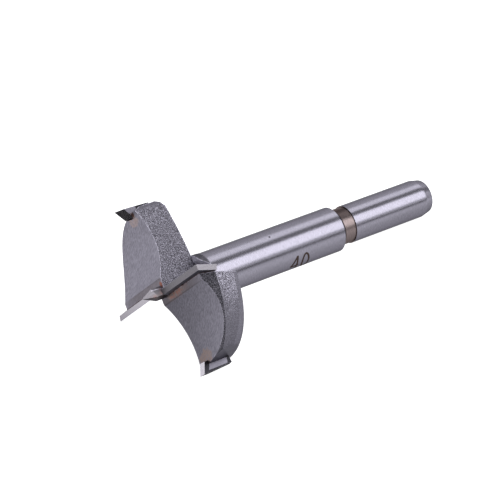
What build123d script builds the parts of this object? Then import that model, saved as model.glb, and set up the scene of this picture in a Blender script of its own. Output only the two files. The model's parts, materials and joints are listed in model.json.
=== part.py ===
from build123d import *
import math
import os

os.makedirs("parts", exist_ok=True)

# A two-wing boring bit with brazed hard-metal cutters, lying on its side.
# All sizes are in millimetres and degrees. The bit is first drawn upright: the point looks up
# along +Z, the bit's axis is the Z axis, and a depth is measured down from the spur tips' plane.
# Seen from the point, azimuths run anticlockwise from +X, and the bit turns the same way.
# Wing B lies between azimuth 0 and 100, and wing A is its twin, half a turn on.

# Head: a turned disc, before its gullets are cut, with a ground flat ahead of each spur
cutting_diameter = 40.0
head_side_clearance = 1.2
rim_flat_depth = 0.6
rim_flat_azimuth = 20.5
face_depth = 1.35
front_cone_depth = 4.2
front_cone_angle = 25.0
rim_end_depth = 8.15
back_cone_radial = 0.55
back_cone_length = 1.15
back_bevel_radial = 1.1
back_bevel_length = 0.7
back_rise = 0.4

# Gullets, and the web that is left between them
web_thickness = 2.5
wall_arc_radius = 60.0
gullet_corner_radius = 1.2
rake_angle = 15.5

# Hollow of each front face, ground parallel to the cutting edge
hollow_radius = 19.0
hollow_depth = 3.85
hollow_offset = 12.3

# Main cutters: hard-metal plates on the leading faces
cutting_edge_azimuth = 97.8
cutting_edge_offset = 0.3
cutter_depth = 0.02
cutter_inset = 0.08
cutter_inner_radius = 2.1
cutter_thickness = 1.15
cutter_height = 4.9
cutter_clearance_angle = 6.0
cutter_side_relief = 15.0
braze_gap = 0.12

# Spurs: hard-metal scoring plates let into the trailing ends of the wings
spur_azimuth = 15.3
spur_leading_width = 0.6
spur_trailing_width = 0.65
spur_radial_size = 2.6
spur_length = 8.15
spur_ridge_fall = 1.4
spur_leading_bevel = 0.9
spur_trailing_bevel = 2.0
spur_back_taper = 0.42

# Centre point, ground on the front of the web
point_height = 3.75
point_base_height = 0.85
point_narrow_half = 1.4
point_narrow_azimuth = 10.0
point_wide_half = 1.95
point_wide_azimuth = 74.0

# Stem and chucking end
hub_diameter = 10.4
hub_end_depth = 12.15
runout_start = 3.7
runout_end = 2.0
runout_depth = 12.1
stem_diameter = 10.2
stem_end_depth = 47.6
stem_chamfer = 0.95
neck_diameter = 8.15
neck_end_depth = 50.5
shank_diameter = 8.6
shank_end_depth = 72.9
shank_taper_length = 2.6
shank_end_diameter = 7.5
shank_edge_round = 0.7

# Values that follow from the sizes above
cutting_radius = cutting_diameter / 2
cutter_radius = cutting_radius - cutter_inset
head_radius = cutting_radius - head_side_clearance
rim_flat_distance = head_radius - rim_flat_depth
hub_radius = hub_diameter / 2
stem_radius = stem_diameter / 2
cutter_outer_end = math.sqrt(cutter_radius**2 - cutting_edge_offset**2)
neck_radius = neck_diameter / 2
shank_radius = shank_diameter / 2
back_cone_depth = rim_end_depth + back_cone_length
back_depth = back_cone_depth + back_bevel_length
hub_start_depth = back_depth + back_rise
taper_start_depth = shank_end_depth - shank_taper_length
cone_radial = (front_cone_depth - face_depth) * math.tan(math.radians(front_cone_angle))
half_web = web_thickness / 2
half_turn = Rot(0, 0, 180)

# Values of the drawing itself: how far a cut reaches past the bit, between which angles from
# level an edge counts as leaning, and where the search for the resting side starts
reach = cutting_diameter
least_lean_angle = 30.0
most_lean_angle = 87.0
underside_azimuth = -33.0
settling_steps = 4


def turned(points):
    """A solid turned about the bit's axis from (radius, depth) points."""
    outline = [(radius, 0, -depth) for radius, depth in points]
    return revolve(make_face(Polyline(*outline, close=True)), axis=Axis.Z)


def at_azimuth(azimuth):
    """A frame on the axis whose X looks outwards at the azimuth and whose Z looks to the tip."""
    return Rot(0, 0, azimuth)


def on_edge():
    """The frame of wing B's cutting edge: X outwards along it, Y the way the bit turns."""
    return at_azimuth(cutting_edge_azimuth) * Pos(0, cutting_edge_offset, -cutter_depth)


def behind_rake(back):
    """The cutting edge's frame, leant with the rake face and moved back from it."""
    return on_edge() * Rot(-rake_angle, 0, 0) * Pos(0, -back, 0)


def plane_through(first, second, third):
    """The plane through three points, with its Z on the upper side."""
    along, across = Vector(second) - Vector(first), Vector(third) - Vector(first)
    normal = along.cross(across)
    if normal.Z < 0:
        normal = -normal
    return Plane(origin=first, x_dir=along, z_dir=normal)


def head_disc():
    return turned([
        (0, face_depth),
        (head_radius - cone_radial, face_depth),
        (head_radius, front_cone_depth),
        (head_radius, rim_end_depth),
        (head_radius - back_cone_radial, back_cone_depth),
        (head_radius - back_cone_radial - back_bevel_radial, back_depth),
        (hub_radius, hub_start_depth),
        (0, hub_start_depth),
    ])


def rim_flat():
    """What is ground off wing B's rim ahead of its spur."""
    beyond = Box(reach, reach, reach, align=(Align.MIN, Align.CENTER, Align.CENTER))
    return at_azimuth(rim_flat_azimuth) * Pos(rim_flat_distance, 0, 0) * beyond


def shank_bar():
    bar = turned([
        (0, hub_start_depth),
        (hub_radius, hub_start_depth),
        (hub_radius, hub_end_depth),
        (stem_radius, hub_end_depth + hub_radius - stem_radius),
        (stem_radius, stem_end_depth - stem_chamfer),
        (stem_radius - stem_chamfer, stem_end_depth),
        (neck_radius, stem_end_depth),
        (neck_radius, neck_end_depth),
        (shank_radius, neck_end_depth),
        (shank_radius, taper_start_depth),
        (shank_end_diameter / 2, shank_end_depth),
        (0, shank_end_depth),
    ])
    return fillet(bar.edges().group_by(Axis.Z)[0], shank_edge_round)


def lean(edge):
    """The angle between an edge's middle and the level, in degrees."""
    return math.degrees(math.asin(abs((edge % 0.5).Z)))


def gullet():
    """The space between the trailing wall of wing A and the leading face of wing B."""
    wall_angle = math.degrees(math.asin(cutting_radius / wall_arc_radius))
    wall = CenterArc((0, half_web - wall_arc_radius), wall_arc_radius, 90, wall_angle)
    rest = Polyline(wall @ 1, (-cutting_radius, reach), (reach, reach), (reach, half_web), wall @ 0)
    column = extrude(Pos(0, 0, -2 * hub_end_depth) * make_face(wall + rest), 3 * hub_end_depth)
    ahead = Box(4 * reach, 2 * reach, 4 * reach, align=(Align.CENTER, Align.MIN, Align.CENTER))
    space = column & (behind_rake(cutter_thickness + braze_gap) * ahead)
    leaning = space.edges().filter_by(lambda edge: least_lean_angle < lean(edge) < most_lean_angle)
    corner = leaning.sort_by(lambda edge: math.hypot((edge @ 0.5).X, (edge @ 0.5).Y))[0]
    return fillet(corner, gullet_corner_radius)


def runout():
    """Where the gullet's floor runs on into the stem, in front of the leading face."""
    profile = [
        (-runout_start, 0),
        (-runout_start, -hub_start_depth),
        (-runout_end, -runout_depth),
        (reach, -runout_depth),
        (reach, 0),
    ]
    return extrude(Plane.XZ * make_face(Polyline(*profile, close=True)), -reach)


def face_hollow():
    """What the wheel takes off wing B's front face, lying along the cutting edge."""
    wheel = Rot(0, 90, 0) * Cylinder(hollow_radius, 4 * reach)
    offset = cutting_edge_offset - hollow_offset
    return at_azimuth(cutting_edge_azimuth) * Pos(0, offset, hollow_radius - hollow_depth) * wheel


def spur_blank(clearance=0.0):
    """The spur of wing B before its front is ground, grown by a clearance on its seated sides."""
    side = Polyline(
        (0, 0),
        (-spur_back_taper, -spur_length - clearance),
        (-spur_radial_size - clearance, -spur_length - clearance),
        (-spur_radial_size - clearance, 0),
        close=True,
    )
    width = spur_leading_width + spur_trailing_width + 2 * clearance
    blank = extrude(Plane.XZ * make_face(side), width)
    return Pos(0, spur_leading_width + clearance, 0) * blank


def spur_frame():
    """The frame of wing B's spur: its tip at the origin, X outwards, Y the way the bit turns."""
    return at_azimuth(spur_azimuth) * Pos(cutting_radius, 0, 0)


def spur():
    """The spur's plate, ground in front to a sloping ridge that ends in the scoring tip."""
    plate = spur_blank()
    tip, ridge_end = (0, 0, 0), (-spur_radial_size, 0, -spur_ridge_fall)
    leading_corner = (0, spur_leading_width, -spur_leading_bevel)
    trailing_corner = (0, -spur_trailing_width, -spur_trailing_bevel)
    for corner in (leading_corner, trailing_corner):
        plate = split(plate, plane_through(tip, ridge_end, corner), keep=Keep.BOTTOM)
    return spur_frame() * plate


def cutter_blank(clearance=0.0):
    """The plate of wing B's main cutter before it is ground, grown by a clearance where it seats."""
    plate = Box(
        cutter_outer_end - cutter_inner_radius + clearance,
        cutter_thickness + clearance,
        cutter_height,
        align=(Align.MAX, Align.MAX, Align.MAX),
    )
    return Rot(-rake_angle, 0, 0) * Pos(cutter_outer_end, 0, 0) * plate


def main_cutter():
    """The plate of wing B's main cutter, with its ground land and its relieved outer end."""
    clearance, relief = math.radians(cutter_clearance_angle), math.radians(cutter_side_relief)
    land = Plane((0, 0, 0), (1, 0, 0), (0, -math.sin(clearance), math.cos(clearance)))
    end = Plane((cutter_outer_end, 0, 0), (0, 0, 1), (math.cos(relief), -math.sin(relief), 0))
    plate = cutter_blank()
    for cut in (land, end):
        plate = split(plate, cut, keep=Keep.BOTTOM)
    return on_edge() * plate


def cutter_braze():
    """The film of filler between the steel and the back of wing B's main cutter."""
    film = Box(
        cutter_outer_end - cutter_inner_radius,
        braze_gap,
        cutter_height,
        align=(Align.MAX, Align.MAX, Align.MAX),
    )
    return (behind_rake(cutter_thickness) * Pos(cutter_outer_end, 0, 0) * film) & head_disc()


def centre_point():
    """A four-sided point with a straight foot that stands on the web."""
    narrow = Vector(point_narrow_half, 0, 0).rotate(Axis.Z, point_narrow_azimuth)
    wide = Vector(point_wide_half, 0, 0).rotate(Axis.Z, point_wide_azimuth)
    base = make_face(Polyline(narrow, wide, -narrow, -wide, close=True))
    foot = extrude(Pos(0, 0, -face_depth) * base, face_depth + point_base_height)
    tip = loft([Pos(0, 0, point_base_height) * base, Vertex(0, 0, point_height)])
    return foot + tip


def both(piece):
    """A piece of wing B with its twin on wing A."""
    return [piece, half_turn * piece]


def wings():
    """The head's two wings and the web between them, before the cutters' seats are cut."""
    return head_disc() - both(gullet()) - both(face_hollow()) - both(rim_flat())


def bit_body(seats):
    """The steel body: wings, stem, chucking end and centre point, less the cutters' seats."""
    shank = shank_bar() - both(gullet() & runout())
    return wings() + shank + centre_point() - both(seats[0]) - both(seats[1])


def resting_plane(points):
    """The plane that the bit lies on, with its X towards the chucking end.

    It goes through the outer corner of wing A's main cutter, the corner where the chucking end
    starts to taper, and the first point of wing B that it meets when it turns about those two.
    """
    corner = (half_turn * on_edge() * Pos(cutter_outer_end, 0, 0)).position
    outward = Vector(1, 0, 0).rotate(Axis.Z, underside_azimuth)
    for _ in range(settling_steps):
        shank_corner = outward * shank_radius - Vector(0, 0, taper_start_depth)
        along = (shank_corner - corner).normalized()
        aside = outward.cross(along).normalized()
        down = along.cross(aside)
        offsets = [point - corner for point in points]
        wing = [offset for offset in offsets if offset.dot(aside) > cutting_radius]
        lowest = max(wing, key=lambda offset: offset.dot(down) / offset.dot(aside))
        upward = lowest.cross(along).normalized()
        outward = -Vector(upward.X, upward.Y, 0).normalized()
    axis = Vector(0, 0, -1)
    return Plane(origin=corner, x_dir=axis - upward * axis.dot(upward), z_dir=upward)


spur_seat = spur_frame() * spur_blank(braze_gap)
cutter_seat = on_edge() * cutter_blank(braze_gap)
pieces = {"bit_body": bit_body((spur_seat, cutter_seat))}
twins = {
    "main_cutter": main_cutter(),
    "spur": spur(),
    "braze_main": cutter_braze(),
    "braze_spur": (spur_seat & wings()) - spur_frame() * spur_blank(),
}
for name, piece in twins.items():
    for wing, twin in zip("ba", both(piece)):
        pieces[name + "_" + wing] = twin

# The bit lies on its side, with its origin under the middle of its bounding box
corners = [Vector(vertex) for piece in pieces.values() for vertex in piece.vertices()]
onto_surface = resting_plane(corners).location.inverse()
placed = {name: onto_surface * piece for name, piece in pieces.items()}
box = Compound(list(placed.values())).bounding_box()
centred = Pos(-box.center().X, -box.center().Y, -box.min.Z)
for name, piece in placed.items():
    export_step(centred * piece, "parts/" + name + ".step")
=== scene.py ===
import json
import math

import bmesh
import bpy
import numpy as np
from mathutils import Matrix, Vector


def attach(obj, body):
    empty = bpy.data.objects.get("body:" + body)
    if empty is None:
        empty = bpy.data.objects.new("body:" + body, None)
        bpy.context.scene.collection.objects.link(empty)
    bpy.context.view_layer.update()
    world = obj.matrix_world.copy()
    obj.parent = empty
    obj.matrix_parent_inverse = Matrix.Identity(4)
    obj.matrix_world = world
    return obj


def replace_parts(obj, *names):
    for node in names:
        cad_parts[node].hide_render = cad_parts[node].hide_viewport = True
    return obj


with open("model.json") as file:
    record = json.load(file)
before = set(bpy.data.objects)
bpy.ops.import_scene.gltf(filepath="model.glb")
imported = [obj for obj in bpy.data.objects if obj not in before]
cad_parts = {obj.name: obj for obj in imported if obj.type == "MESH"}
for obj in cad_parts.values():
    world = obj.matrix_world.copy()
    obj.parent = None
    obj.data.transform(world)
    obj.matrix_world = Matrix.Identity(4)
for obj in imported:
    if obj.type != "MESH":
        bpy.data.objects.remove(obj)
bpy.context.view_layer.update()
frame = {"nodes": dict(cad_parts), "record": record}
nodes = frame["nodes"]
millimetre = 0.001


# The bit's own frame, in metres: depth runs along the axis from the spur tips to the chucking end,
# and azimuth 0 looks at spur B, so wing B lies from there to about 85 degrees and wing A opposite.
def bitFrame():
    mount = next(m for m in frame["record"]["mounts"] if m["kind"] == "pin")
    along = np.array(mount["axis"]) / np.linalg.norm(mount["axis"])
    points = nodePoints("spur_b") - mount["pos_m"]
    depths = points @ along
    tip = points[depths.argmin()]
    origin = np.array(mount["pos_m"]) + depths.min() * along
    first = tip - (tip @ along) * along
    first /= np.linalg.norm(first)
    return origin, np.array([first, -np.cross(along, first), along])


def nodePoints(name):
    mesh = nodes[name].data
    flat = np.empty(len(mesh.vertices) * 3)
    mesh.vertices.foreach_get("co", flat)
    return flat.reshape(-1, 3)


bitOrigin, bitAxes = bitFrame()


def toBit(points):
    return (points - bitOrigin) @ bitAxes.T / millimetre


def fromBit(points):
    return np.asarray(points) * millimetre @ bitAxes + bitOrigin


# A direction square to the axis, at an azimuth in degrees
def atAzimuth(degrees):
    angle = math.radians(degrees)
    return (math.cos(angle), math.sin(angle), 0.0)


# Small tools for shader nodes
class NodeSheet:
    def __init__(self, tree):
        self.tree = tree
        tree.nodes.clear()

    def add(self, kind, inputs=None, **settings):
        node = self.tree.nodes.new(kind)
        for key, value in settings.items():
            setattr(node, key, value)
        for key, value in (inputs or {}).items():
            self.feed(node.inputs[key], value)
        return node

    def feed(self, socket, value):
        if isinstance(value, bpy.types.NodeSocket):
            self.tree.links.new(value, socket)
        else:
            socket.default_value = value

    def math(self, operation, first, second=0.0, third=0.0):
        node = self.add("ShaderNodeMath", {0: first, 1: second, 2: third}, operation=operation)
        return node.outputs[0]

    def times(self, product, *factors):
        for factor in factors:
            product = self.math("MULTIPLY", product, factor)
        return product

    # A value times a slope, plus a start
    def along(self, value, slope, start):
        return self.math("MULTIPLY_ADD", value, slope, start)

    def vector(self, operation, first, second=(0, 0, 0)):
        node = self.add("ShaderNodeVectorMath", {0: first, 1: second}, operation=operation)
        return node.outputs["Value" if operation in ("DOT_PRODUCT", "LENGTH", "DISTANCE") else "Vector"]

    def dot(self, first, second):
        return self.vector("DOT_PRODUCT", first, second)

    def combine(self, x, y, z):
        return self.add("ShaderNodeCombineXYZ", {"X": x, "Y": y, "Z": z}).outputs[0]

    def separate(self, place):
        return self.add("ShaderNodeSeparateXYZ", {0: place}).outputs

    # 0 below low, 1 above high, smooth between
    def ramp(self, value, low, high):
        node = self.add(
            "ShaderNodeMapRange",
            {"Value": value, "From Min": low, "From Max": high},
            interpolation_type="SMOOTHSTEP",
        )
        return node.outputs["Result"]

    def mix(self, amount, first, second):
        node = self.add("ShaderNodeMix", {0: amount}, data_type="RGBA")
        self.feed(node.inputs[6], first)
        self.feed(node.inputs[7], second)
        return node.outputs[2]

    def noise(self, place, scale, detail=2.0, roughness=0.5):
        values = {"Vector": place, "Scale": scale, "Detail": detail, "Roughness": roughness}
        return self.add("ShaderNodeTexNoise", values).outputs["Fac"]

    # A place whose three axes are stretched, so that a pattern comes out drawn long on them
    def stretched(self, place, lengths):
        return self.vector("MULTIPLY", place, [1.0 / length for length in lengths])

    # How far a place lies from a centre, with each axis measured in its own reach
    def reached(self, place, centre, reach):
        return self.vector("LENGTH", self.stretched(self.vector("SUBTRACT", place, centre), reach))

    def group(self, tree, inputs=None):
        return self.add("ShaderNodeGroup", inputs, node_tree=tree).outputs


def newGroup(name, inputs, outputs):
    kinds = {"value": "NodeSocketFloat", "place": "NodeSocketVector"}
    tree = bpy.data.node_groups.new(name, "ShaderNodeTree")
    for direction, sockets in (("INPUT", inputs), ("OUTPUT", outputs)):
        for socketName, kind in sockets.items():
            tree.interface.new_socket(socketName, in_out=direction, socket_type=kinds[kind])
    sheet = NodeSheet(tree)
    return sheet, sheet.add("NodeGroupInput").outputs, sheet.add("NodeGroupOutput").inputs


wingValues = {   # millimetres and degrees in the bit's own frame
    "middleAzimuth": 35.0,   # between wing B's two ends
    "edgeAzimuth": 82.5,     # of the main cutting edge
    "flatAzimuth": 5.2,      # of the flat ground on the rim
    "linesAzimuth": 27.4,    # across the grinding lines of the front faces
    "stemRadius": 5.1,
    "rimRadius": 16.5,
    "hubEnd": 12.1,
    "neckStart": 47.6,
    "neckEnd": 50.5,
    "faceDepth": 1.35,
    "pointRadius": 2.3,
    "floorDepth": 9.0,
    "strip": 6.25,           # depth where the ground strip behind the rim starts, growing along the wing
    "stripLean": 0.125,
}


# Where a point lies on the bit, in millimetres: Place is (toward spur B, a quarter turn on, depth),
# Wing is the same with wing A turned onto wing B, Round is (arc length at the stem, radius, depth).
def bitPlaceGroup():
    outputs = {"Place": "place", "Wing": "place", "Round": "place", "Depth": "value", "Radius": "value"}
    sheet, _, result = newGroup("bitPlace", {}, outputs)
    coordinates = sheet.add("ShaderNodeTexCoord").outputs["Object"]
    offset = sheet.vector("SUBTRACT", coordinates, list(bitOrigin))
    first, second, depth = [sheet.dot(offset, list(axis / millimetre)) for axis in bitAxes]
    place = sheet.combine(first, second, depth)
    side = sheet.math("SIGN", sheet.dot(place, atAzimuth(wingValues["middleAzimuth"])))
    around = sheet.times(sheet.math("ARCTAN2", second, first), wingValues["stemRadius"])
    radius = sheet.vector("LENGTH", sheet.vector("MULTIPLY", place, (1, 1, 0)))
    sheet.feed(result["Place"], place)
    sheet.feed(result["Wing"], sheet.combine(sheet.times(first, side), sheet.times(second, side), depth))
    sheet.feed(result["Round"], sheet.combine(around, radius, depth))
    sheet.feed(result["Depth"], depth)
    sheet.feed(result["Radius"], radius)
    return sheet.tree


grainValues = {   # in shares of one grain; pairs run from no speckle or pit to a full one
    "roughness": 0.62, "swell": 0.33, "swellHeight": 0.5, "dentHeight": 0.6,
    "speckle": (0.42, 0.66), "pits": (0.4, 0.3),
}


# Speckle of a shot-blasted face: small dents of uneven size on a slow swell, light on their rims
def blastedGroup(values):
    outputs = {"Speckle": "value", "Pits": "value", "Height": "value"}
    sheet, given, result = newGroup("blastedGrain", {"Place": "place", "Size": "value"}, outputs)
    scale = sheet.math("DIVIDE", 1.0, given["Size"])
    fine = sheet.noise(given["Place"], scale, detail=3.0, roughness=values["roughness"])
    swell = sheet.noise(given["Place"], sheet.times(scale, values["swell"]), detail=1.0)
    dents = sheet.add(
        "ShaderNodeTexVoronoi", {"Vector": given["Place"], "Scale": scale, "Randomness": 1.0}
    ).outputs["Distance"]
    height = sheet.math("ADD", sheet.times(dents, values["dentHeight"]), fine)
    sheet.feed(result["Height"], sheet.math("ADD", height, sheet.times(swell, values["swellHeight"])))
    sheet.feed(result["Speckle"], sheet.ramp(fine, *values["speckle"]))
    sheet.feed(result["Pits"], sheet.ramp(fine, *values["pits"]))
    return sheet.tree


lineValues = {"roughness": 0.6, "contrast": (0.3, 0.7)}


# Fine parallel lines left by a wheel or a turning tool, in a place stretched along them
def groundGroup(values):
    sheet, given, result = newGroup("groundLines", {"Place": "place"}, {"Lines": "value", "Height": "value"})
    fine = sheet.noise(given["Place"], 1.0, detail=3.0, roughness=values["roughness"])
    sheet.feed(result["Lines"], sheet.ramp(fine, *values["contrast"]))
    sheet.feed(result["Height"], fine)
    return sheet.tree


wearAndHighlightValues = {"samples": 6, "lean": (0.01, 0.12), "raggedScale": 2.6, "ragged": (0.3, 0.6), "level": 0.75}


# Bright edges where two faces meet, partly real wear and partly painted highlight: how far the rounded normal
# leans from the true one, made ragged
def edgeWearAndHighlightGroup(values):
    sheet, given, result = newGroup("edgeWearAndHighlight", {"Reach": "value", "Place": "place"}, {"WearAndHighlight": "value"})
    rounded = sheet.add("ShaderNodeBevel", {"Radius": given["Reach"]}, samples=values["samples"]).outputs[0]
    plain = sheet.add("ShaderNodeNewGeometry").outputs["Normal"]
    lean = sheet.math("SUBTRACT", 1.0, sheet.dot(rounded, plain))
    ragged = sheet.ramp(sheet.noise(given["Place"], values["raggedScale"]), *values["ragged"])
    sheet.feed(result["WearAndHighlight"], sheet.times(sheet.ramp(lean, *values["lean"]), ragged))
    return sheet.tree


stainValues = {   # millimetres; pairs run from no stain to the full one
    "cloudScale": 0.9, "blotScale": 2.2, "wingBorder": (-0.5, 0.5),
    "spurEnd": (16.9, 0.0, 3.2), "spurReach": (2.1, 3.0, 3.0), "spurEdge": (1.1, 0.85),
    "spurBlots": (0.22, 0.58), "spurCloud": 1.1, "smallerOnA": 0.5,
    "patchStart": (0.5, 2.5), "patchEnd": (12.0, 5.0), "patchBehind": (4.0, 2.2), "patchBlot": 1.6,
    "patchBrown": 0.6, "copperCloud": (0.47, 0.6), "pointSpot": (-1.35, 1.1, 1.45), "pointEdge": (0.75, 0.45),
    "sootSpot": (-18.0, 1.25, 3.2), "sootReach": (0.75, 0.95, 0.8), "sootEdge": (1.4, 1.0), "sootBlot": 0.6,
    "darkerBehind": (3.6, 2.6), "darkerDepth": 1.5, "darkerEnd": (21.0, 10.0),
}


# Brown heat stains round each spur's inner end, brown and copper behind wing B's main cutter, soot by spur A,
# and a darker strip behind both cutters. Seat is (outward along the cutting edge, behind it, depth).
def stainsGroup(values):
    sheet, given, result = newGroup(
        "brazeStains",
        {"Place": "place", "Wing": "place", "Seat": "place"},
        {"Brown": "value", "Copper": "value", "DarkerStrip": "value", "Soot": "value"},
    )
    outward, behind, depth = sheet.separate(given["Seat"])
    onWingB = sheet.ramp(sheet.separate(given["Place"])[0], *values["wingBorder"])
    cloud = sheet.noise(given["Wing"], values["cloudScale"], detail=4.0, roughness=0.6)
    blot = sheet.noise(given["Wing"], values["blotScale"], detail=3.0, roughness=0.6)

    away = sheet.reached(given["Wing"], values["spurEnd"], values["spurReach"])
    away = sheet.times(away, sheet.along(onWingB, -values["smallerOnA"], 1 + values["smallerOnA"]))
    away = sheet.math("ADD", away, sheet.along(cloud, values["spurCloud"], -values["spurCloud"] / 2))
    bySpur = sheet.times(sheet.ramp(away, *values["spurEdge"]), sheet.ramp(blot, *values["spurBlots"]))

    ends = sheet.times(sheet.ramp(outward, *values["patchEnd"]), sheet.ramp(outward, *values["patchStart"]))
    near = sheet.ramp(sheet.along(blot, values["patchBlot"], behind), *values["patchBehind"])
    patch = sheet.times(near, ends, onWingB)
    sheet.feed(result["Brown"], sheet.math("MAXIMUM", bySpur, sheet.times(patch, values["patchBrown"])))

    copper = sheet.times(patch, sheet.ramp(cloud, *values["copperCloud"]))
    away = sheet.vector("DISTANCE", given["Place"], values["pointSpot"])
    sheet.feed(result["Copper"], sheet.math("MAXIMUM", copper, sheet.ramp(away, *values["pointEdge"])))

    away = sheet.reached(given["Place"], values["sootSpot"], values["sootReach"])
    sheet.feed(result["Soot"], sheet.ramp(sheet.along(blot, values["sootBlot"], away), *values["sootEdge"]))

    shallow = sheet.math("LESS_THAN", depth, values["darkerDepth"])
    strip = sheet.times(sheet.ramp(behind, *values["darkerBehind"]), shallow)
    sheet.feed(result["DarkerStrip"], sheet.times(strip, sheet.ramp(outward, *values["darkerEnd"])))
    return sheet.tree


spurValues = {   # millimetres: outward from the axis, across from the spur's tip to the wing, and depth
    "panelTop": 18.16, "panelHeight": 1.32, "panelSide": 0.3, "panelStart": 3.1, "frontLean": 0.65,
    "panelEnd": 7.55, "rearLean": 0.3, "soft": 0.08, "sideFace": -0.62, "sideEnd": 4.8, "innerRadius": 16.0,
}


# Painted shade on a spur: a dark border standing for its dark bevels, its end and the shadowed gap along the
# braze; all of it is dark but the panel ground bright on its flat side, whose two ends lean, and the narrow
# side that looks away from the wing
def spurBorderGroup(values):
    sheet, given, result = newGroup("spurBorder", {"Wing": "place"}, {"Dark": "value"})
    outward, across, depth = sheet.separate(given["Wing"])
    high = sheet.math("SUBTRACT", outward, values["panelTop"])
    top, start, end, soft = values["panelHeight"], values["panelStart"], values["panelEnd"], values["soft"]
    panel = sheet.times(
        sheet.ramp(high, 0, soft),
        sheet.math("GREATER_THAN", across, values["panelSide"]),
        sheet.ramp(high, top, top - soft),
        sheet.ramp(sheet.along(high, values["frontLean"], depth), start, start + soft),
        sheet.ramp(sheet.along(high, values["rearLean"], depth), end, end - soft),
    )
    side = sheet.math("LESS_THAN", across, values["sideFace"])
    side = sheet.times(side, sheet.math("LESS_THAN", depth, values["sideEnd"]))
    onSpur = sheet.math("GREATER_THAN", outward, values["innerRadius"])
    dark = sheet.math("SUBTRACT", 1.0, sheet.math("MAXIMUM", panel, side))
    sheet.feed(result["Dark"], sheet.times(onSpur, dark))
    return sheet.tree


bitPlace = bitPlaceGroup()
blastedGrain = blastedGroup(grainValues)
groundLines = groundGroup(lineValues)
edgeWearAndHighlight = edgeWearAndHighlightGroup(wearAndHighlightValues)
brazeStains = stainsGroup(stainValues)
spurBorder = spurBorderGroup(spurValues)

steelTint, hardTint = (1.02, 0.98, 1.18), (1.02, 0.97, 1.08)
edgeTint = (0.4, 0.4, 0.4, 1.0)   # how bright the metal is where it is seen nearly edge-on


def grey(level, tint=steelTint):
    return tuple(level * part for part in tint) + (1.0,)


def newMaterial(name):
    material = bpy.data.materials.new(name)
    material.use_nodes = True
    return material, NodeSheet(material.node_tree)


# The metal's shader, its bump, and bright edges, partly wear and partly painted highlight
def finishMaterial(material, sheet, place, values, colour, roughness, height):
    reach = values["wearAndHighlightReach"] * millimetre
    wearAndHighlight = sheet.group(edgeWearAndHighlight, {"Reach": reach, "Place": place["Place"]})["WearAndHighlight"]
    # edges painted brighter: partly wear, partly painted highlight
    colour = sheet.mix(sheet.times(wearAndHighlight, values["wearAndHighlight"]), colour, grey(wearAndHighlightValues["level"]))
    bump = sheet.add(
        "ShaderNodeBump", {"Height": height, "Strength": values["bump"], "Distance": values["bumpDepth"]}
    )
    shader = sheet.add(
        "ShaderNodeBsdfPrincipled",
        {
            "Base Color": colour,
            "Metallic": values["metallic"],
            "Roughness": roughness,
            "Specular Tint": edgeTint,
            "Normal": bump.outputs[0],
        },
    )
    sheet.add("ShaderNodeOutputMaterial", {"Surface": shader.outputs[0]})
    return material


# Shot-blasted steel: grain in colour, height and gloss. The grain fades out toward the spur and on
# the ground strip behind the rim, or beyond a radius.
def blastedSteel(name, values):
    material, sheet = newMaterial(name)
    place = sheet.group(bitPlace)
    grain = sheet.group(blastedGrain, {"Place": place["Place"], "Size": values["grain"]})
    clouds = sheet.noise(place["Place"], values["cloudScale"])
    base = sheet.mix(clouds, grey(values["dark"]), grey(values["light"]))
    smooth = grey(values["smooth"])
    if values["fades"]:
        ahead = sheet.separate(place["Wing"])[1]
        amount = sheet.ramp(sheet.along(clouds, values["fadeCloud"], ahead), *values["fades"])
        start = wingValues["strip"]
        ground = sheet.along(ahead, -wingValues["stripLean"], place["Depth"])
        onStrip = sheet.ramp(ground, start - values["stripSoft"], start)
        amount = sheet.times(amount, sheet.math("SUBTRACT", 1.0, onStrip))
        smooth = sheet.mix(onStrip, smooth, grey(values["smooth"] * values["stripGain"]))
    else:
        amount = sheet.ramp(place["Radius"], *values["smoothBeyond"])
    base = sheet.mix(amount, smooth, base)
    amount = sheet.along(amount, 1 - values["leastGrain"], values["leastGrain"])
    speckle = sheet.times(grain["Speckle"], sheet.times(amount, values["speckle"]))
    colour = sheet.mix(speckle, base, grey(values["fleck"]))
    pits = sheet.times(grain["Pits"], sheet.times(amount, values["pits"]))
    colour = sheet.mix(pits, colour, grey(values["dark"] * values["pitLevel"]))
    roughness = sheet.along(grain["Speckle"], -values["fleckGloss"], values["roughness"])
    height = sheet.times(grain["Height"], amount)
    return finishMaterial(material, sheet, place, values, colour, roughness, height)


# painted highlight: a bright line painted along an edge of the centre point
glintValues = {   # the bright edge of the centre point: a line across a slant, and where on the bit it shows
    "slant": (0.84, 0.54, -0.17), "place": 0.45, "width": (0.11, 0.05), "start": 0.35, "level": 0.9,
}
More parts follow.
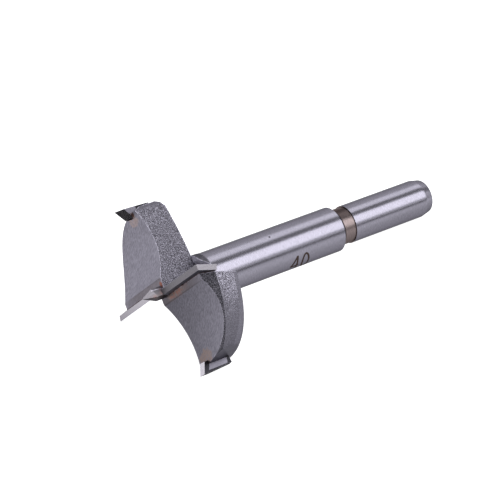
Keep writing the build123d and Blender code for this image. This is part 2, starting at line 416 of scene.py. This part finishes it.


# Steel or hard metal ground with a wheel: lines at a slant to the cutting edge. A front face also gets its
# stains and painted light, lighter toward spur B and on wing A, the point gets its painted glint, a spur its
# soot and a painted-shade border.
def groundSteel(name, values):
    material, sheet = newMaterial(name)
    place = sheet.group(bitPlace)
    wing, edge, slant = place["Wing"], wingValues["edgeAzimuth"], wingValues["linesAzimuth"]
    seat = sheet.combine(
        sheet.dot(wing, atAzimuth(edge)), sheet.dot(wing, atAzimuth(edge - 90)), place["Depth"]
    )
    turned = sheet.combine(
        sheet.dot(wing, atAzimuth(slant)), sheet.dot(wing, atAzimuth(slant + 90)), place["Depth"]
    )
    lines = sheet.group(groundLines, {"Place": sheet.stretched(turned, values["stretch"])})
    clouds = sheet.noise(place["Place"], values["cloudScale"], detail=4.0, roughness=0.6)
    dark, light, fleck = [grey(values[level], values["tint"]) for level in ("dark", "light", "fleck")]
    colour = sheet.mix(sheet.times(lines["Lines"], values["lines"]), sheet.mix(clouds, dark, light), fleck)
    toSpurB, ahead, _ = sheet.separate(place["Place"])
    onWingB = sheet.math("GREATER_THAN", toSpurB, 0)
    # painted light and shade: front faces lighter toward spur B, and wing A painted lighter than wing B
    if values["gainSlope"]:
        gain = sheet.along(onWingB, values["gainB"] - values["gainA"], values["gainA"])
        gain = sheet.along(toSpurB, values["gainSlope"], gain)
        colour = sheet.add("ShaderNodeVectorMath", {0: colour, "Scale": gain}, operation="SCALE").outputs[0]
    if values["stained"] or values["bordered"]:
        stains = sheet.group(brazeStains, {"Place": place["Place"], "Wing": wing, "Seat": seat})
        if values["stained"]:
            stripDarkening = sheet.times(stains["DarkerStrip"], values["stripDarkening"])
            colour = sheet.mix(stripDarkening, colour, values["darkened"])
            darker = sheet.times(stripDarkening, sheet.times(onWingB, values["darkerB"]))
            colour = sheet.mix(darker, colour, grey(values["darkest"]))
            browner = sheet.along(onWingB, values["brownB"] - values["brownA"], values["brownA"])
            colour = sheet.mix(sheet.times(stains["Brown"], browner), colour, values["brown"])
            colour = sheet.mix(sheet.times(stains["Copper"], values["coppered"]), colour, values["copper"])
        colour = sheet.mix(sheet.times(stains["Soot"], values["sooted"]), colour, values["soot"])
    # painted highlight on the centre point
    if values["glinting"]:
        line = sheet.math("ADD", sheet.dot(place["Place"], glintValues["slant"]), glintValues["place"])
        glint = sheet.ramp(sheet.math("ABSOLUTE", line), *glintValues["width"])
        glint = sheet.times(glint, sheet.math("GREATER_THAN", ahead, glintValues["start"]))
        colour = sheet.mix(glint, colour, grey(glintValues["level"]))
    # painted shade round the spur's bright panel
    if values["bordered"]:
        border = sheet.group(spurBorder, {"Wing": wing})
        colour = sheet.mix(border["Dark"], colour, grey(values["border"]))
    roughness = sheet.along(lines["Lines"], -values["lineGloss"], values["roughness"])
    return finishMaterial(material, sheet, place, values, colour, roughness, lines["Height"])


# the neck's darkest side is partly heat tint and partly painted shade
stemMarks = {   # a pit on the stem, and the darkest side of the heat-tinted neck
    "pit": (-1.98, 4.7, 28.47), "pitEdge": (0.26, 0.16), "pitLevel": 0.01,
    "tintAndShadeAzimuth": 118.0, "tintAndShadeEdge": (3.8, 4.15), "tintAndShadeCloud": 0.3,
}


# Turned steel: fine lines round the axis. The neck also has a darker side, partly heat tint and partly
# painted shade in place of the top lamp's reflection, and the stem a pit.
def turnedSteel(name, values):
    material, sheet = newMaterial(name)
    place = sheet.group(bitPlace)
    lines = sheet.group(groundLines, {"Place": sheet.stretched(place["Round"], values["stretch"])})
    clouds = sheet.noise(place["Place"], values["cloudScale"], detail=3.0)
    base = sheet.mix(clouds, values["dark"], values["light"])
    colour = sheet.mix(sheet.times(lines["Lines"], values["lines"]), base, values["fleck"])
    # the neck's darker side: partly heat tint, partly painted shade
    if values["shaded"]:
        facing = sheet.dot(place["Place"], atAzimuth(stemMarks["tintAndShadeAzimuth"]))
        facing = sheet.along(clouds, stemMarks["tintAndShadeCloud"], facing)
        shade = sheet.times(sheet.ramp(facing, *stemMarks["tintAndShadeEdge"]), values["shaded"])
        colour = sheet.mix(shade, colour, values["shade"])
    if values["pitted"]:
        away = sheet.vector("DISTANCE", place["Place"], stemMarks["pit"])
        colour = sheet.mix(sheet.ramp(away, *stemMarks["pitEdge"]), colour, grey(stemMarks["pitLevel"]))
    roughness = sheet.along(clouds, values["cloudDull"], values["roughness"])
    return finishMaterial(material, sheet, place, values, colour, roughness, lines["Height"])


# Colours as levels from 0 to 1, grain and reaches in millimetres, bump depths in metres
wallValues = {
    "dark": 0.078, "light": 0.109, "fleck": 0.41, "cloudScale": 0.35, "metallic": 1.0,
    "grain": 0.19, "leastGrain": 0.15, "speckle": 0.85, "pits": 0.6, "pitLevel": 0.3,
    "roughness": 0.5, "fleckGloss": 0.12, "bump": 1.0, "bumpDepth": 0.00012, "wearAndHighlight": 1.0, "wearAndHighlightReach": 0.3,
    "smooth": 0.12, "smoothBeyond": (18.3, 17.6), "fades": None,
}
rimValues = {
    **wallValues, "dark": 0.115, "light": 0.16, "fleck": 0.66, "speckle": 0.8, "pits": 1.0, "grain": 0.2,
    "smooth": 0.125, "fades": (14.6, 20.0),   # smooth below the first, full grain above the second
    "fadeCloud": 4.0, "stripSoft": 0.25, "stripGain": 1.3,
}
coneValues = {
    **rimValues, "dark": 0.03, "light": 0.043, "fleck": 0.26, "speckle": 0.6, "pits": 0.8, "grain": 0.19,
    "wearAndHighlight": 0.5, "smooth": 0.16, "fades": (4.0, 9.0),
}
hubValues = {**wallValues, "dark": 0.065, "light": 0.085, "fleck": 0.2, "speckle": 0.4, "bump": 0.5}
# painted light: the gullet floor is the wall's blasted steel given a much lighter, matte colour, so that its
# recess does not render dark
gulletValues = {**wallValues, "dark": 0.45, "light": 0.55, "fleck": 0.8, "metallic": 0.1, "wearAndHighlight": 0.4}
faceValues = {
    "dark": 0.118, "light": 0.155, "fleck": 0.255, "tint": steelTint, "cloudScale": 0.3, "metallic": 1.0,
    "lines": 0.85, "lineGloss": 0.06, "stretch": (0.16, 1.0, 1.0),
    "roughness": 0.38, "bump": 0.35, "bumpDepth": 0.00004, "wearAndHighlight": 0.5, "wearAndHighlightReach": 0.1,
    # painted light: the front faces grow lighter toward spur B, wing A lighter than wing B
    "gainSlope": 0.028, "gainA": 1.39, "gainB": 0.75,   # how the light grows toward spur B, on each wing
    "stained": True, "glinting": False, "bordered": False,
    "stripDarkening": 0.75, "darkened": (0.125, 0.111, 0.121, 1.0), "darkerB": 0.3, "darkest": 0.02,
    "brownA": 0.45, "brownB": 0.67, "brown": (0.33, 0.238, 0.205, 1.0),
    "coppered": 0.8, "copper": (0.235, 0.09, 0.065, 1.0), "sooted": 0.9, "soot": (0.09, 0.05, 0.038, 1.0),
}
plainValues = {**faceValues, "stained": False, "gainSlope": 0.0}
flatValues = {
    **plainValues, "dark": 0.12, "light": 0.15, "fleck": 0.2, "lines": 0.7, "stretch": (0.1, 0.1, 4.0),
}
pointValues = {
    **faceValues, "dark": 0.23, "light": 0.28, "fleck": 0.35, "tint": hardTint, "lines": 0.7,
    "stretch": (0.1, 1.5, 1.5), "gainSlope": 0.0, "stripDarkening": 0.3, "glinting": True,
}
# painted shade: the point's facets that look toward spur B get a darker copy of its finish
pointShadeValues = {**pointValues, "dark": 0.08, "light": 0.1, "fleck": 0.14, "glinting": False}
turnedValues = {
    "dark": grey(0.19), "light": grey(0.225), "fleck": grey(0.3), "cloudScale": 0.25, "metallic": 1.0,
    "lines": 0.6, "stretch": (0.8, 5.0, 0.12), "roughness": 0.2, "cloudDull": 0.05,
    "bump": 0.25, "bumpDepth": 0.00002, "wearAndHighlight": 0.3, "wearAndHighlightReach": 0.06, "shaded": 0.0, "pitted": True,
}
neckValues = {
    **turnedValues, "dark": (0.135, 0.108, 0.108, 1.0), "light": (0.185, 0.15, 0.15, 1.0),
    "fleck": (0.26, 0.21, 0.21, 1.0), "shade": (0.045, 0.034, 0.034, 1.0), "shaded": 0.85,
    "roughness": 0.28, "wearAndHighlight": 0.1, "pitted": False,
}
etchedValues = {
    **turnedValues, "dark": (0.045, 0.031, 0.026, 1.0), "light": (0.08, 0.056, 0.05, 1.0),
    "fleck": (0.11, 0.08, 0.075, 1.0), "roughness": 0.6, "wearAndHighlight": 0.0, "pitted": False,
}
brazeValues = {
    **turnedValues, "dark": (0.01, 0.007, 0.007, 1.0), "light": (0.05, 0.03, 0.025, 1.0),
    "fleck": (0.2, 0.08, 0.05, 1.0), "lines": 0.3, "stretch": (0.4, 0.4, 0.4), "roughness": 0.45,
    "bump": 0.4, "bumpDepth": 0.00005, "pitted": False,
}
hardValues = {   # ground lands and facets of the cutters
    **plainValues, "dark": 0.3, "light": 0.34, "fleck": 0.38, "tint": hardTint, "lines": 0.4,
    "cloudScale": 1.2, "stretch": (0.2, 0.2, 2.0), "roughness": 0.22, "bump": 0.1, "bumpDepth": 0.00002,
}
# painted light and shade: cutter A's land is a lighter copy and cutter B's land a darker copy of one hard
# metal
litLandValues = {**hardValues, "dark": 0.34, "light": 0.38, "fleck": 0.42}
endValues = {**hardValues, "dark": 0.2, "light": 0.23, "fleck": 0.26, "roughness": 0.3}
shadedLandValues = {**hardValues, "dark": 0.115, "light": 0.17, "fleck": 0.22, "lines": 0.6, "roughness": 0.42}
sideValues = {
    **hardValues, "dark": 0.17, "light": 0.2, "fleck": 0.24, "tint": steelTint, "roughness": 0.42,
    "bordered": True, "border": 0.035,
}

bodyMaterials = {
    "wall": blastedSteel("blastedWall", wallValues),
    "rim": blastedSteel("blastedRim", rimValues),
    "hub": blastedSteel("blastedHub", hubValues),
    "floor": blastedSteel("gulletFloor", gulletValues),
    "cone": blastedSteel("darkCone", coneValues),
    "flat": groundSteel("groundFlat", flatValues),
    "face": groundSteel("groundFace", faceValues),
    "point": groundSteel("groundPoint", pointValues),
    "pointShadedFacets": groundSteel("groundPointPaintedShade", pointShadeValues),
    "turned": turnedSteel("turnedSteel", turnedValues),
    "neck": turnedSteel("heatTintedAndShadedSteel", neckValues),
}
hardMaterials = {
    "front": groundSteel("hardMetal", hardValues),
    "litLand": groundSteel("hardMetalPaintedLight", litLandValues),
    "end": groundSteel("hardMetalEnd", endValues),
    "darkened": groundSteel("hardMetalPaintedShade", shadedLandValues),
    "side": groundSteel("hardMetalSide", sideValues),
}
brazeFiller = turnedSteel("brazeFiller", brazeValues)
print("materials made")

copyValues = {   # millimetres and degrees
    "doubles": 0.002, "flatter": 0.3, "sharp": 28.0, "segments": 2,
    "bodyRounding": 0.1, "cutterRounding": 0.03,
}


# A copy of a CAD node with its doubles merged and its flat triangles joined, so that its edges round
def mergedCopy(nodeName, pieceName, rounding):
    values = copyValues
    mesh = nodes[nodeName].data.copy()
    mesh.name = pieceName
    work = bmesh.new()
    work.from_mesh(mesh)
    bmesh.ops.remove_doubles(work, verts=work.verts, dist=values["doubles"] * millimetre)
    flatter = math.radians(values["flatter"])
    bmesh.ops.dissolve_limit(
        work, angle_limit=flatter, verts=work.verts, edges=work.edges, delimit={"NORMAL"}
    )
    work.to_mesh(mesh)
    work.free()
    mesh.materials.clear()
    mesh.shade_smooth()
    mesh.set_sharp_from_angle(angle=math.radians(values["sharp"]))
    piece = bpy.data.objects.new(pieceName, mesh)
    bpy.context.scene.collection.objects.link(piece)
    bevel = piece.modifiers.new("rounding", "BEVEL")
    bevel.width = rounding * millimetre
    bevel.segments = values["segments"]
    bevel.limit_method = "ANGLE"
    bevel.angle_limit = math.radians(values["sharp"])
    weighted = piece.modifiers.new("normals", "WEIGHTED_NORMAL")
    weighted.keep_sharp = True
    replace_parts(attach(piece, "root"), nodeName)
    return piece


# The middle and the normal of each face, in the bit's own frame, and how far it looks outward
def facePlaces(mesh):
    centres = np.empty(len(mesh.polygons) * 3)
    normals = np.empty(len(mesh.polygons) * 3)
    mesh.polygons.foreach_get("center", centres)
    mesh.polygons.foreach_get("normal", normals)
    centres, normals = toBit(centres.reshape(-1, 3)), normals.reshape(-1, 3) @ bitAxes.T
    radius = np.hypot(centres[:, 0], centres[:, 1])
    outward = (centres[:, :2] * normals[:, :2]).sum(1) / np.maximum(radius, 0.01)
    return centres, normals, radius, outward


# Margins in millimetres, and shares of a face's normal, 1 where it looks straight that way
finishValues = {
    "headMargin": 0.3, "rimOutward": 0.6, "coneInside": 2.0, "coneOutward": 0.85, "coneForward": 0.3,
    "flatAcross": 0.9999, "faceForward": 0.6, "faceEnd": 5.0, "pointMargin": 0.1, "lowToSpurB": 0.8,
    "hubMargin": 0.2, "hubOutward": 0.9, "neckMargin": 0.01, "floorForward": 0.2,
    "frontForward": 0.3, "endOutward": 0.8,
}


# Each face of the body gets the finish of its place: its depth, its radius and the way it looks
def finishBody(body, values):
    centres, normals, radius, outward = facePlaces(body.data)
    depth, forward = centres[:, 2], -normals[:, 2]
    alongFlat = np.abs(normals @ atAzimuth(wingValues["flatAzimuth"]))
    head = depth < wingValues["hubEnd"] + values["headMargin"]
    rim = head & (radius > wingValues["rimRadius"])
    skirt = head & (radius > wingValues["rimRadius"] - values["coneInside"])
    pointStart = wingValues["faceDepth"] - values["pointMargin"]
    point = (depth < pointStart) & (radius < wingValues["pointRadius"])
    gullet = head & (depth > wingValues["floorDepth"])
    hub = gullet & (radius < wingValues["stemRadius"] + values["hubMargin"])
    neckStart, neckEnd = wingValues["neckStart"], wingValues["neckEnd"]
    neck = (depth > neckStart - values["neckMargin"]) & (depth < neckEnd + values["neckMargin"])
    places = {
        "rim": rim & (outward > values["rimOutward"]),
        "cone": skirt & (outward > values["coneOutward"]) & (forward > values["coneForward"]),
        "flat": rim & (alongFlat > values["flatAcross"]),
        "face": (forward > values["faceForward"]) & (depth < values["faceEnd"]),
        "point": point,
        "pointShadedFacets": point & (normals[:, 0] > values["lowToSpurB"]),
        "hub": hub & (outward > values["hubOutward"]),
        "turned": ~head,
        "neck": neck,
        "floor": gullet & (radius < wingValues["stemRadius"]) & (forward > values["floorForward"]),
    }
    finishes = list(bodyMaterials)
    kind = np.zeros(len(depth), int)
    for name, faces in places.items():
        kind[faces] = finishes.index(name)
    for material in bodyMaterials.values():
        body.data.materials.append(material)
    body.data.polygons.foreach_set("material_index", kind)
    body.data.update()
    print("faces of the body by finish", {name: int((kind == i).sum()) for i, name in enumerate(finishes)})


# The facets that look forward and the main cutter's outer end are polished, the sides are plainly ground
def finishCutter(piece, front, values):
    centres, normals, _, outward = facePlaces(piece.data)
    onSpur = np.abs(centres[:, 0]) > spurValues["innerRadius"]
    for material in (hardMaterials["side"], front, hardMaterials["end"]):
        piece.data.materials.append(material)
    outerEnd = (outward > values["endOutward"]) & ~onSpur
    kind = np.where(normals[:, 2] < -values["frontForward"], 1, np.where(outerEnd, 2, 0))
    piece.data.polygons.foreach_set("material_index", kind)
    piece.data.update()


body = mergedCopy("bit_body", "body", copyValues["bodyRounding"])
finishBody(body, finishValues)
# cutter A's land gets the painted-light copy, cutter B's the painted-shade copy
cutterFronts = {"main_cutter_a": "litLand", "main_cutter_b": "darkened", "spur_a": "front", "spur_b": "front"}
for wing in "ab":
    for node in (f"main_cutter_{wing}", f"spur_{wing}"):
        cutter = mergedCopy(node, f"{node}_ground", copyValues["cutterRounding"])
        finishCutter(cutter, hardMaterials[cutterFronts[node]], finishValues)
    for node in (f"braze_main_{wing}", f"braze_spur_{wing}"):
        nodes[node].data.materials.clear()
        nodes[node].data.materials.append(brazeFiller)
print("pieces made")

# The size number etched on the stem. Strokes are (along the stem, up) points, in heights of a figure
numberValues = {
    "depth": 31.98, "foot": -9.0, "height": 4.5, "slant": -0.03,
    "stroke": 0.45, "raised": 0.008, "sunk": 0.05, "step": 0.1,
    "four": {"place": 0.0, "strokes": ([(0.36, 1.0), (0.0, 0.4), (0.46, 0.4)], [(0.36, 1.0), (0.36, 0.0)])},
    "nought": {"place": 0.86, "radii": (0.185, 0.48), "steps": 48},
}


# A flat bar carried along a path on the stem's skin: each point moves half a stroke to either side
# of the path, and out or in from the skin
def strokeBar(path, closed):
    values, stem = numberValues, wingValues["stemRadius"]
    ahead = np.roll(path, -1, axis=0) - np.roll(path, 1, axis=0)
    if not closed:
        ahead[0], ahead[-1] = path[1] - path[0], path[-1] - path[-2]
    ahead /= np.linalg.norm(ahead, axis=1)[:, None]
    sideways = np.stack([-ahead[:, 1], ahead[:, 0]], axis=1) * values["stroke"] / 2
    flat = np.stack([path + sideways, path - sideways, path - sideways, path + sideways], axis=1)
    radius = stem + np.array([1, 1, 0, 0]) * (values["raised"] + values["sunk"]) - values["sunk"]
    azimuth = np.radians(values["foot"]) + flat[:, :, 1] / stem
    points = np.stack([radius * np.cos(azimuth), radius * np.sin(azimuth), flat[:, :, 0]], axis=2)
    count = len(path)
    start = np.arange(count if closed else count - 1)[:, None, None] * 4
    corner = np.arange(4)[None, :, None]
    following = (start + 4) % (4 * count)
    faces = np.concatenate(
        [start + corner, following + corner, following + (corner + 1) % 4, start + (corner + 1) % 4], axis=2
    ).reshape(-1, 4)
    if not closed:
        last = 4 * count - 1
        caps = np.array([[0, 1, 2, 3], [last, last - 1, last - 2, last - 3]])
        faces = np.concatenate([faces, caps])
    return points.reshape(-1, 3), faces


# Points a step apart along straight lines
def finely(corners):
    lengths = np.concatenate([[0], np.cumsum(np.linalg.norm(np.diff(corners, axis=0), axis=1))])
    spots = np.linspace(0, lengths[-1], int(lengths[-1] / numberValues["step"]) + 2)
    return np.stack([np.interp(spots, lengths, corners[:, axis]) for axis in (0, 1)], axis=1)


# From heights to millimetres on the stem's unrolled skin, leaning forward by the slant
def onStem(points, place):
    values = numberValues
    x = values["depth"] + values["height"] * (points[:, 0] + place + values["slant"] * points[:, 1])
    return np.stack([x, values["height"] * points[:, 1]], axis=1)


# The four is two bent bars, the nought a bar round an ellipse: across times cosine, up times sine
def makeNumber(values):
    four, nought = values["four"], values["nought"]
    bars = [strokeBar(finely(onStem(np.array(line), four["place"])), False) for line in four["strokes"]]
    turn = np.linspace(0, 2 * np.pi, nought["steps"], endpoint=False)
    across, up = nought["radii"]
    loop = np.stack([across * np.cos(turn), 0.5 + up * np.sin(turn)], axis=1)
    bars.append(strokeBar(onStem(loop, nought["place"]), True))
    starts = np.cumsum([0] + [len(points) for points, faces in bars])
    vertices = fromBit(np.concatenate([points for points, faces in bars]))
    faces = np.concatenate([faces + start for (points, faces), start in zip(bars, starts)])
    mesh = bpy.data.meshes.new("sizeNumber")
    mesh.from_pydata(vertices.tolist(), [], faces.tolist())
    mesh.materials.append(turnedSteel("etchedNumber", etchedValues))
    piece = bpy.data.objects.new("sizeNumber", mesh)
    bpy.context.scene.collection.objects.link(piece)
    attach(piece, "root")
    print("size number made")


makeNumber(numberValues)


# The photograph's camera, from a fit to the bit's round steps and its two spur tips
cameraValues = {
    "place": (-0.235984, -0.346765, 0.329109),
    "right": (0.799890, -0.594677, -0.080840),
    "up": (0.414485, 0.449987, 0.791021),
    "lens": 174.6,
    "sensor": 36.0,
}


def makeCamera(values):
    data = bpy.data.cameras.new("camera")
    data.sensor_width = values["sensor"]
    data.lens = values["lens"]
    camera = bpy.data.objects.new("camera", data)
    right, up = Vector(values["right"]).normalized(), Vector(values["up"]).normalized()
    turn = Matrix((right, up, right.cross(up))).transposed()
    camera.matrix_world = Matrix.Translation(values["place"]) @ turn.to_4x4()
    bpy.context.scene.collection.objects.link(camera)
    bpy.context.scene.camera = camera


makeCamera(cameraValues)
bpy.context.scene.view_settings.view_transform = "Standard"

lightValues = {
    "target": (0.0, 0.0, 0.012),
    "distance": 0.6,
    "world": 0.6,
    "lamps": {   # soft boxes: where each stands, its size along the bit and across, and how bright it looks
        "frontBox": {"toward": (0.601, -0.603, 0.525), "size": (0.5, 0.42), "glow": 2.25},
        "topBox": {"toward": (0.29, 0.39, 0.865), "size": (1.1, 0.36), "glow": 1.15},
    },
    "cards": {   # dark and pale cards between and beside them, which only gloss shows
        "gapCard": {"toward": (0.636, -0.13, 0.76), "size": (0.9, 0.2), "glow": 0.35},
        "frontCard": {"toward": (-0.12, -0.78, 0.62), "size": (0.5, 0.6), "glow": 0.05},
        "horizonCard": {"toward": (0.529, -0.848, 0.02), "size": (1.0, 0.12), "glow": 0.15},
        "lipCard": {"toward": (0.557, -0.798, 0.229), "size": (0.5, 0.1), "glow": 1.2},
        "backCard": {"toward": (0.55, 0.7, 0.42), "size": (1.2, 0.36), "glow": 1.0},
    },
}


# Stands something flat at a direction from the bit, looking back at it, with its long side along the bit
def faceTheBit(thing, toward):
    toward = Vector(toward).normalized()
    across = toward.cross(Vector(bitAxes[2])).normalized()
    turn = Matrix((across.cross(toward), across, toward)).transposed()
    place = Vector(lightValues["target"]) + toward * lightValues["distance"]
    thing.matrix_world = Matrix.Translation(place) @ turn.to_4x4()
    thing.visible_camera = False
    bpy.context.scene.collection.objects.link(thing)


# A lamp whose power grows with its area, so that it looks equally bright at any size
def softBox(name, values):
    data = bpy.data.lights.new(name, "AREA")
    data.shape = "RECTANGLE"
    data.size, data.size_y = values["size"]
    data.energy = values["glow"] * math.pi * data.size * data.size_y
    faceTheBit(bpy.data.objects.new(name, data), values["toward"])


def flatSquare(name, halfX, halfY, level):
    mesh = bpy.data.meshes.new(name)
    corners = [(-halfX, -halfY, level), (halfX, -halfY, level), (halfX, halfY, level), (-halfX, halfY, level)]
    mesh.from_pydata(corners, [], [(0, 1, 2, 3)])
    return bpy.data.objects.new(name, mesh)


def glossCard(name, values):
    length, width = values["size"]
    card = flatSquare(name, length / 2, width / 2, 0.0)
    material, sheet = newMaterial(name)
    glow = sheet.add("ShaderNodeEmission", {"Strength": values["glow"]})
    sheet.add("ShaderNodeOutputMaterial", {"Surface": glow.outputs[0]})
    card.data.materials.append(material)
    faceTheBit(card, values["toward"])
    card.visible_diffuse = False
    card.visible_shadow = False


for lampName, values in lightValues["lamps"].items():
    softBox(lampName, values)
for cardName, values in lightValues["cards"].items():
    glossCard(cardName, values)


# White to the camera and to gloss, softer as a light
def makeWorld(level):
    world = bpy.data.worlds.new("studio")
    bpy.context.scene.world = world
    world.use_nodes = True
    sheet = NodeSheet(world.node_tree)
    paths = sheet.add("ShaderNodeLightPath").outputs
    seen = sheet.math("MAXIMUM", paths["Is Camera Ray"], paths["Is Glossy Ray"])
    seen = sheet.math("MAXIMUM", seen, paths["Is Transmission Ray"])
    strength = sheet.along(seen, 1.0 - level, level)
    background = sheet.add("ShaderNodeBackground", {"Color": (1, 1, 1, 1), "Strength": strength})
    sheet.add("ShaderNodeOutputWorld", {"Surface": background.outputs[0]})


makeWorld(lightValues["world"])

# the floor's glow for gloss holds a painted shadow near the bit and painted light farther out and before the
# head
groundValues = {   # metres; the glow that gloss shows goes from near to far, and differs before the head
    "half": 1.5, "drop": 0.00002, "colour": 0.8, "seenGlow": 0.85,
    "near": 0.004, "far": 0.03, "nearGlow": 0.9, "farGlow": 1.32, "bitHalf": 0.034,
    "headStart": -0.017, "headEnd": -0.0476, "headNear": 0.75, "headFar": 1.55,
    "fadeStart": 0.07, "fadeEnd": 0.16, "fade": 0.35,
}


# A pale floor: white with the bit's soft shadow to the camera, and for gloss a glow with painted shade and
# light in it: low near the bit as a painted shadow, growing with the distance from the bit and fading again
# far from it
def makeFloor(values):
    floor = flatSquare("floor", values["half"], values["half"], -values["drop"])
    bpy.context.scene.collection.objects.link(floor)
    material, sheet = newMaterial("paleFloor")
    paths = sheet.add("ShaderNodeLightPath").outputs
    x, y, _ = sheet.separate(sheet.add("ShaderNodeTexCoord").outputs["Object"])
    beyond = sheet.math("SUBTRACT", sheet.math("ABSOLUTE", x), values["bitHalf"])
    away = sheet.vector("LENGTH", sheet.combine(sheet.math("MAXIMUM", beyond), y, 0.0))
    byHead = sheet.ramp(x, values["headStart"], values["headEnd"])
    nearGlow = sheet.along(byHead, values["headNear"] - values["nearGlow"], values["nearGlow"])
    farGlow = sheet.along(byHead, values["headFar"] - values["farGlow"], values["farGlow"])
    # painted shadow near the bit, painted light farther out
    faraway = sheet.ramp(away, values["near"], values["far"])
    rise = sheet.times(faraway, sheet.math("SUBTRACT", farGlow, nearGlow))
    fall = sheet.along(sheet.ramp(away, values["fadeStart"], values["fadeEnd"]), -values["fade"], 1.0)
    strength = sheet.times(sheet.math("ADD", rise, nearGlow), fall)
    mirrored = sheet.add("ShaderNodeEmission", {"Strength": strength}).outputs[0]
    diffuse = sheet.add("ShaderNodeBsdfDiffuse", {"Color": (values["colour"],) * 3 + (1,)}).outputs[0]
    seen = sheet.times(paths["Is Camera Ray"], values["seenGlow"])
    glow = sheet.add("ShaderNodeEmission", {"Strength": seen}).outputs[0]
    both = sheet.add("ShaderNodeAddShader", {0: diffuse, 1: glow}).outputs[0]
    chosen = sheet.add("ShaderNodeMixShader", {0: paths["Is Glossy Ray"], 1: both, 2: mirrored})
    sheet.add("ShaderNodeOutputMaterial", {"Surface": chosen.outputs[0]})
    floor.data.materials.append(material)


makeFloor(groundValues)
print("light, floor and camera made")
